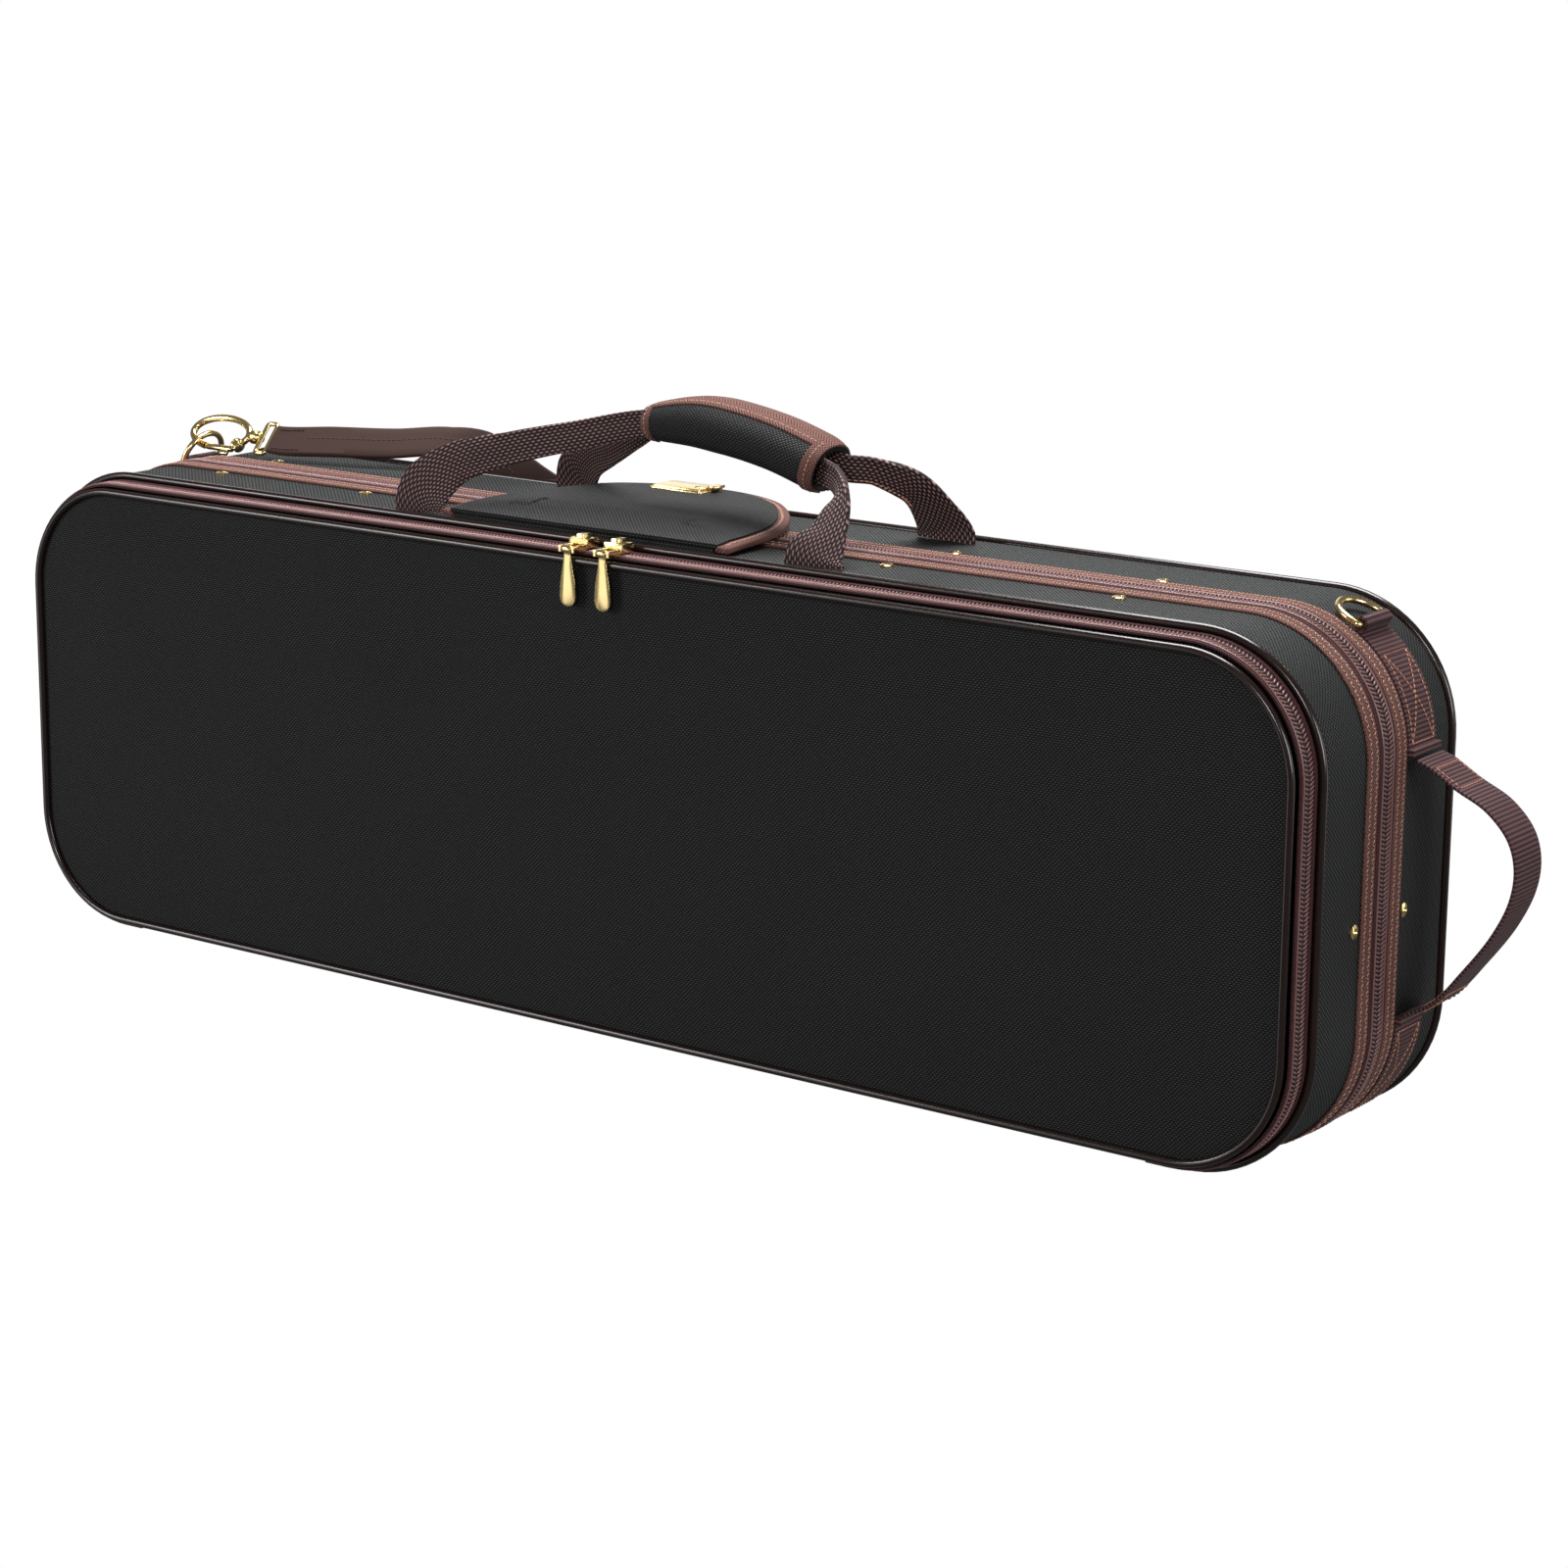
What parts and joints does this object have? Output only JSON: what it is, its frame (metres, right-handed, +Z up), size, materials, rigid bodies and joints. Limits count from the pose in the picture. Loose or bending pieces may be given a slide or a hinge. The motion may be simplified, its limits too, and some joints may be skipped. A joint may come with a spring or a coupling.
{
  "type": "violin case",
  "caption": "Oblong zipped violin case on its long side: fabric shells, front pocket, webbing handles, clasped flap and a shaped violin bed inside",
  "frame": {"origin": "middle of the flat underside of the body's fabric hinge strip, on the surface the case stands on", "axes": "+X along the case towards its strap end, +Z up from the hinge side to the handle side, -Y towards the lid and front pocket"},
  "size_m": [0.8606, 0.1635, 0.325],
  "materials": {
    "nylon": "woven black nylon cloth",
    "piping": "glossy dark brown piping",
    "woven_binding": "woven red-brown edge tape with stitching",
    "zip": "brown coil zip on woven tape",
    "webbing": "dark red-brown woven webbing",
    "strap_cloth": "dark brown folded strap",
    "gold": "polished gold plate",
    "plush": "short wine-red plush over foam"
  },
  "bodies": {
    "body": {"body_shell": "nylon", "body_piping": "piping", "body_binding": "woven_binding", "body_zip_tape": "zip", "body_hinge_strip": "nylon", "cradle_foam": "plush", "suspension_pad_upper": "plush", "suspension_pad_lower": "plush", "neck_rest": "plush", "end_tab_upper": "webbing", "end_tab_lower": "webbing", "ring_tab_left": "webbing", "ring_tab_rear": "webbing", "clasp_post": "gold", "shoulder_strap": "strap_cloth", "strap_adjuster": "gold", "snap_hook_left": "gold", "snap_hook_rear": "gold"},
    "lid": {"lid_shell": "nylon", "lid_piping": "piping", "lid_binding": "woven_binding", "lid_zip_tape": "zip", "lid_hinge_strip": "nylon", "lid_lining": "plush", "bow_sleeve_lower": "plush", "bow_sleeve_upper": "plush", "pocket_zip_tape_lid": "zip", "pocket_hinge_strip": "nylon"},
    "pocket_cover": {"pocket_panel": "nylon", "pocket_piping": "piping", "pocket_zip_tape_cover": "zip"},
    "pocket_slider_left": {"pocket_slider_left": "gold"},
    "pocket_slider_right": {"pocket_slider_right": "gold"},
    "pocket_pull_left": {"pocket_pull_left": "gold"},
    "pocket_pull_right": {"pocket_pull_right": "gold"},
    "main_slider_left": {"main_slider_left": "gold", "main_pull_left": "gold"},
    "main_slider_right": {"main_slider_right": "gold", "main_pull_right": "gold"},
    "flap": {"flap_panel": "nylon", "flap_binding": "woven_binding", "clasp_plate": "gold"},
    "clasp_slide": {"clasp_slide": "gold"},
    "front_handle": {"front_webbing": "webbing", "grip_front": "nylon"},
    "rear_handle": {"rear_webbing": "webbing", "grip_rear": "nylon"},
    "end_strap": {"end_strap": "webbing"},
    "ring_right": {"d_ring_right": "gold"},
    "ring_left": {"d_ring_left": "gold"},
    "ring_rear": {"d_ring_rear": "gold"},
    "gate_left": {"snap_gate_left": "gold"},
    "gate_rear": {"snap_gate_rear": "gold"},
    "neck_strap": {"neck_strap": "webbing"},
    "accessory_lid": {"accessory_lid": "plush", "accessory_lid_tab": "webbing"},
    "bow_spinner_lower": {"bow_spinner_lower": "plush"},
    "bow_spinner_upper": {"bow_spinner_upper": "plush"}
  },
  "joints": [
    {"name": "lid_hinge", "type": "hinge", "parent": "body", "child": "lid", "pos_m": [0, -0.008, 0], "axis": [1, 0, 0], "range_deg": [0, 105]},
    {"name": "pocket_hinge", "type": "hinge", "parent": "lid", "child": "pocket_cover", "pos_m": [0, -0.078, 0.003], "axis": [1, 0, 0], "range_deg": [0, 85]},
    {"name": "pocket_slider_left_slide", "type": "slide", "parent": "pocket_cover", "child": "pocket_slider_left", "axis": [1, 0, 0], "range_m": [-0.3, 0]},
    {"name": "pocket_slider_right_slide", "type": "slide", "parent": "pocket_cover", "child": "pocket_slider_right", "axis": [1, 0, 0], "range_m": [0, 0.3]},
    {"name": "pocket_pull_left_swing", "type": "hinge", "parent": "pocket_slider_left", "child": "pocket_pull_left", "pos_m": [-0.013, -0.0877, 0.2556], "axis": [-1, 0, 0], "range_deg": [0, 150]},
    {"name": "pocket_pull_right_swing", "type": "hinge", "parent": "pocket_slider_right", "child": "pocket_pull_right", "pos_m": [0.009, -0.0877, 0.2556], "axis": [-1, 0, 0], "range_deg": [0, 150]},
    {"name": "main_slider_left_slide", "type": "slide", "parent": "body", "child": "main_slider_left", "axis": [1, 0, 0], "range_m": [-0.17, 0]},
    {"name": "main_slider_right_slide", "type": "slide", "parent": "body", "child": "main_slider_right", "axis": [1, 0, 0], "range_m": [0, 0.3]},
    {"name": "flap_hinge", "type": "hinge", "parent": "lid", "child": "flap", "pos_m": [0, -0.063, 0.26], "axis": [1, 0, 0], "range_deg": [0, 3]},
    {"name": "clasp_slide_travel", "type": "slide", "parent": "flap", "child": "clasp_slide", "axis": [1, 0, 0], "range_m": [-0.005, 0]},
    {"name": "front_handle_swing", "type": "hinge", "parent": "lid", "child": "front_handle", "pos_m": [-0.012, -0.056, 0.2595], "axis": [1, 0, 0], "range_deg": [0, 80]},
    {"name": "rear_handle_swing", "type": "hinge", "parent": "body", "child": "rear_handle", "pos_m": [0.006, 0.044, 0.2595], "axis": [-1, 0, 0], "range_deg": [0, 80]},
    {"name": "end_strap_swing", "type": "hinge", "parent": "body", "child": "end_strap", "pos_m": [0.4059, 0.025, 0.1292], "axis": [0, 0, 1], "range_deg": [-15, 15]},
    {"name": "ring_right_swing", "type": "hinge", "parent": "body", "child": "ring_right", "pos_m": [0.37366, 0.025, 0.25013], "axis": [0, 1, 0], "range_deg": [0, 180]},
    {"name": "ring_left_swing", "type": "hinge", "parent": "body", "child": "ring_left", "pos_m": [-0.37366, 0.025, 0.25013], "axis": [0, 1, 0], "range_deg": [-6, 3]},
    {"name": "ring_rear_swing", "type": "hinge", "parent": "body", "child": "ring_rear", "pos_m": [0.318, 0.0652, 0.04], "axis": [-0.3987, 0, -0.9171], "range_deg": [-4, 4]},
    {"name": "gate_left_swing", "type": "hinge", "parent": "body", "child": "gate_left", "pos_m": [-0.3422, 0.01883, 0.26015], "axis": [0, 0.766, -0.6428], "range_deg": [0, 15], "stiffness_Nm_per_rad": 0.02},
    {"name": "gate_rear_swing", "type": "hinge", "parent": "body", "child": "gate_rear", "pos_m": [0.28114, 0.07162, 0.06381], "axis": [-0.2668, 0.7431, -0.6136], "range_deg": [0, 15], "stiffness_Nm_per_rad": 0.02},
    {"name": "neck_strap_swing", "type": "hinge", "parent": "body", "child": "neck_strap", "pos_m": [-0.045, 0.0117, 0.0952], "axis": [1, 0, 0], "range_deg": [0, 65]},
    {"name": "accessory_lid_hinge", "type": "hinge", "parent": "body", "child": "accessory_lid", "pos_m": [-0.21, 0.0117, 0.0222], "axis": [1, 0, 0], "range_deg": [0, 55]},
    {"name": "bow_spinner_lower_turn", "type": "hinge", "parent": "lid", "child": "bow_spinner_lower", "pos_m": [0.24, -0.0468, 0.1232], "axis": [0, 1, 0], "range_deg": [-90, 90]},
    {"name": "bow_spinner_upper_turn", "type": "hinge", "parent": "lid", "child": "bow_spinner_upper", "pos_m": [0.24, -0.0468, 0.1912], "axis": [0, 1, 0], "range_deg": [-90, 90]}
  ]
}
